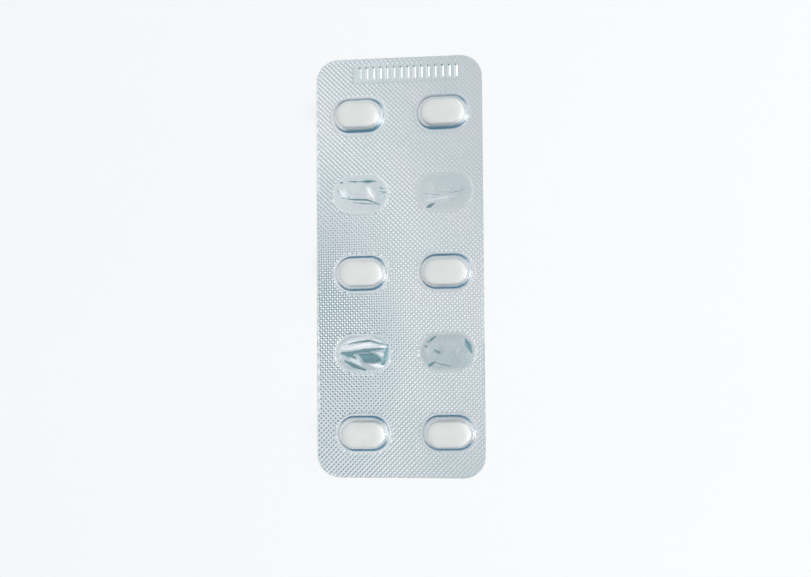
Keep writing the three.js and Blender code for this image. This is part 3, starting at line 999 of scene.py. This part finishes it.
def tablet_material():
    material, tree, shader, group = finish_with_clouds(
        "tablet",
        first=(0.69, 0.69, 0.66),
        second=(0.72, 0.72, 0.69),
        cloud=4,
        grain=0.12,
        rough=0.42,
        rough_spread=0.12,
    )
    with_grain_bump(tree, shader, group, strength=0.4, depth=0.03)
    return material


TABLET_FINISH = tablet_material()


def add_tablet_face(shell, plan_at, side, middle_height):
    """One cushioned face of a tablet. Returns its outer ring."""
    ring = None
    band = None
    for i in range(TABLET_CUP_RINGS):
        angle = i / TABLET_CUP_RINGS * math.pi / 2
        plan = plan_at(TABLET_RADIUS * math.cos(angle) ** (2 / TABLET_CUP_POWER))
        cup = TABLET_CUP_DEPTH * math.sin(angle) ** (2 / TABLET_CUP_POWER)
        rise = TABLET_BAND_HEIGHT / 2 + cup
        inner = shell.add(plan, [middle_height + side * rise] * len(plan))
        if ring is None:
            band = inner
        else:
            shell.bridge(ring, inner, side > 0)
        ring = inner
    hub_height = middle_height + side * TABLET_HEIGHT / 2
    hub = shell.add(plan_at(0)[:1], [hub_height])[0]
    shell.cap(ring, hub, side > 0)
    return band


def coated_tablet(node, turn_deg):
    low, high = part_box(node)
    centre = Vector(((low[0] + high[0]) / 2 / MM, (low[1] + high[1]) / 2 / MM))
    middle_height = (low[2] + high[2]) / 2 / MM
    turn = PATTERN_TURN + math.radians(turn_deg)

    def plan_at(radius):
        if radius == 0:
            return [centre]
        plan = oblong(radius, TABLET_ARC_STEPS, TABLET_STRAIGHT_STEPS)
        return [turned(point, turn) + centre for point in plan]

    shell = Shell()
    upper = add_tablet_face(shell, plan_at, 1, middle_height)
    lower = add_tablet_face(shell, plan_at, -1, middle_height)
    shell.bridge(lower, upper, True)
    return shell.piece(node.replace("tablet", "coated_tablet"), TABLET_FINISH)


for node, turn_deg in TABLET_TURNS.items():
    tablet = coated_tablet(node, turn_deg)
    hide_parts(node)
    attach(tablet, "root")


# The table and the light
# A plain white table top in soft studio light: bright from the right, dimmer overhead and
# from the left, and darkest beyond the strip's two ends.
FLOOR_SIZE = 3000
FLOOR_HEIGHT = -0.02


def table_material():
    material = bpy.data.materials.new("table")
    material.use_nodes = True
    tree = material.node_tree
    shader = tree.nodes["Principled BSDF"]
    speckle = tree.nodes.new("ShaderNodeTexNoise")
    speckle.inputs["Scale"].default_value = 60
    shade = tree.nodes.new("ShaderNodeMix")
    shade.data_type = "RGBA"
    shade.inputs["A"].default_value = (0.90, 0.88, 0.865, 1)
    shade.inputs["B"].default_value = (0.91, 0.89, 0.875, 1)
    tree.links.new(speckle.outputs["Fac"], shade.inputs["Factor"])
    tree.links.new(shade.outputs["Result"], shader.inputs["Base Color"])
    shader.inputs["Roughness"].default_value = 0.9
    shader.inputs["Specular IOR Level"].default_value = 0.2
    return material


floor_mesh = bpy.data.meshes.new("table_top")
half = FLOOR_SIZE / 2 * MM
corners = [(-half, -half), (half, -half), (half, half), (-half, half)]
floor_mesh.from_pydata([(x, y, FLOOR_HEIGHT * MM) for x, y in corners], [], [(0, 1, 2, 3)])
floor_mesh.materials.append(table_material())
floor = bpy.data.objects.new("table_top", floor_mesh)
bpy.context.scene.collection.objects.link(floor)

# The sky of soft light: how far it is tilted, and where its parts blend into each other, by
# how far a direction points right or left and by how much it points across the strip
LIGHT_TILT = math.radians(3.5)
LEFT_TO_RIGHT_BLEND = (-0.1, 0.1)
ENDS_TO_SIDES_BLEND = (0.2, 0.7)


def ramp(tree, stops):
    """A colour ramp with the given places and colours."""
    node = tree.nodes.new("ShaderNodeValToRGB")
    elements = node.color_ramp.elements
    while len(elements) < len(stops):
        elements.new(0.5)
    for element, (place, colour) in zip(elements, stops):
        element.position = place
        element.color = (*colour, 1)
    return node


def studio_light():
    world = bpy.data.worlds.new("studio")
    bpy.context.scene.world = world
    world.use_nodes = True
    tree = world.node_tree
    background = tree.nodes["Background"]
    place = tree.nodes.new("ShaderNodeTexCoord")
    tilted = tree.nodes.new("ShaderNodeMapping")
    tilted.inputs["Rotation"].default_value = (LIGHT_TILT, 0, 0)
    parts = tree.nodes.new("ShaderNodeSeparateXYZ")
    tree.links.new(place.outputs["Generated"], tilted.inputs["Vector"])
    tree.links.new(tilted.outputs["Vector"], parts.inputs["Vector"])
    # By height: the light comes low and strong from the right, and hardly any comes along
    # the strip.
    right = ramp(
        tree,
        [
            (0.00, (0.95, 0.95, 0.95)),
            (0.40, (1.2, 1.2, 1.2)),
            (0.65, (2.5, 2.5, 2.5)),
            (0.80, (2.6, 2.6, 2.6)),
            (0.94, (1.6, 1.6, 1.6)),
            (0.97, (0.86, 0.86, 0.86)),
            (0.99, (0.61, 0.63, 0.65)),
            (1.00, (0.59, 0.61, 0.63)),
        ],
    )
    left = ramp(
        tree,
        [
            (0.00, (0.85, 0.87, 0.90)),
            (0.80, (0.75, 0.78, 0.82)),
            (0.88, (0.76, 0.80, 0.83)),
            (0.92, (1.45, 1.46, 1.47)),
            (0.965, (1.0, 1.01, 1.02)),
            (1.00, (0.59, 0.61, 0.63)),
        ],
    )
    along = ramp(
        tree,
        [
            (0.00, (0.46, 0.48, 0.58)),
            (0.45, (0.36, 0.39, 0.49)),
            (0.85, (0.07, 0.20, 0.22)),
            (0.93, (0.38, 0.50, 0.52)),
            (0.965, (0.62, 0.67, 0.69)),
            (1.00, (0.59, 0.61, 0.63)),
        ],
    )
    for node in (right, left, along):
        tree.links.new(parts.outputs["Z"], node.inputs["Fac"])

    def calculated(operation, first, second):
        node = tree.nodes.new("ShaderNodeMath")
        node.operation = operation
        tree.links.new(first, node.inputs[0])
        tree.links.new(second, node.inputs[1])
        return node.outputs["Value"]

    def blend_factor(source, span, interpolation):
        node = tree.nodes.new("ShaderNodeMapRange")
        node.interpolation_type = interpolation
        node.inputs["From Min"].default_value = span[0]
        node.inputs["From Max"].default_value = span[1]
        tree.links.new(source, node.inputs["Value"])
        return node.outputs["Result"]

    def blended(factor, first, second):
        node = tree.nodes.new("ShaderNodeMix")
        node.data_type = "RGBA"
        tree.links.new(factor, node.inputs["Factor"])
        tree.links.new(first, node.inputs["A"])
        tree.links.new(second, node.inputs["B"])
        return node.outputs["Result"]

    # The share of a level direction that points across the strip, and not along it
    across = calculated("MULTIPLY", parts.outputs["X"], parts.outputs["X"])
    lengthwise = calculated("MULTIPLY", parts.outputs["Y"], parts.outputs["Y"])
    level = calculated("ADD", across, lengthwise)
    share_across = calculated("DIVIDE", across, level)
    to_sides = blend_factor(share_across, ENDS_TO_SIDES_BLEND, "SMOOTHSTEP")
    to_right = blend_factor(parts.outputs["X"], LEFT_TO_RIGHT_BLEND, "LINEAR")
    sides = blended(to_right, left.outputs["Color"], right.outputs["Color"])
    sky = blended(to_sides, along.outputs["Color"], sides)
    tree.links.new(sky, background.inputs["Color"])


studio_light()


# The softbox at the right, whose reflection sits on the right end of each pocket
SOFTBOX_PLACE = Vector((1300, -280, 800))
SOFTBOX_WIDTH = 700
SOFTBOX_HEIGHT = 800
SOFTBOX_POWER = 9.0

softbox_data = bpy.data.lights.new("softbox", "AREA")
softbox_data.shape = "RECTANGLE"
softbox_data.size = SOFTBOX_WIDTH * MM
softbox_data.size_y = SOFTBOX_HEIGHT * MM
softbox_data.energy = SOFTBOX_POWER
softbox = bpy.data.objects.new("softbox", softbox_data)
softbox.location = SOFTBOX_PLACE * MM
softbox.rotation_mode = "QUATERNION"
softbox.rotation_quaternion = SOFTBOX_PLACE.to_track_quat("Z", "Y")
bpy.context.scene.collection.objects.link(softbox)


# The camera
# It stands a little to the right of the strip and below its middle, and looks down on it.
IMAGE_WIDTH = 811
FOCAL_LENGTH_PX = 1100
SENSOR_WIDTH = 36
CAMERA_DISTANCE = 257.0
AIM = Vector((1.28, -5.31, 0.0))
CAMERA_TURNS_DEG = (2.74, 7.7, -0.77)

camera_data = bpy.data.cameras.new("camera")
camera_data.sensor_width = SENSOR_WIDTH
camera_data.lens = FOCAL_LENGTH_PX / IMAGE_WIDTH * SENSOR_WIDTH
camera_data.clip_start = 0.01
camera_data.clip_end = 10
camera = bpy.data.objects.new("camera", camera_data)
bpy.context.scene.collection.objects.link(camera)
turns = Euler([math.radians(a) for a in CAMERA_TURNS_DEG], "ZYX").to_matrix()
camera.matrix_world = Matrix.LocRotScale(
    (AIM + turns.col[2] * CAMERA_DISTANCE) * MM, turns, Vector((1, 1, 1))
)
bpy.context.scene.camera = camera
bpy.context.scene.view_settings.view_transform = "Standard"
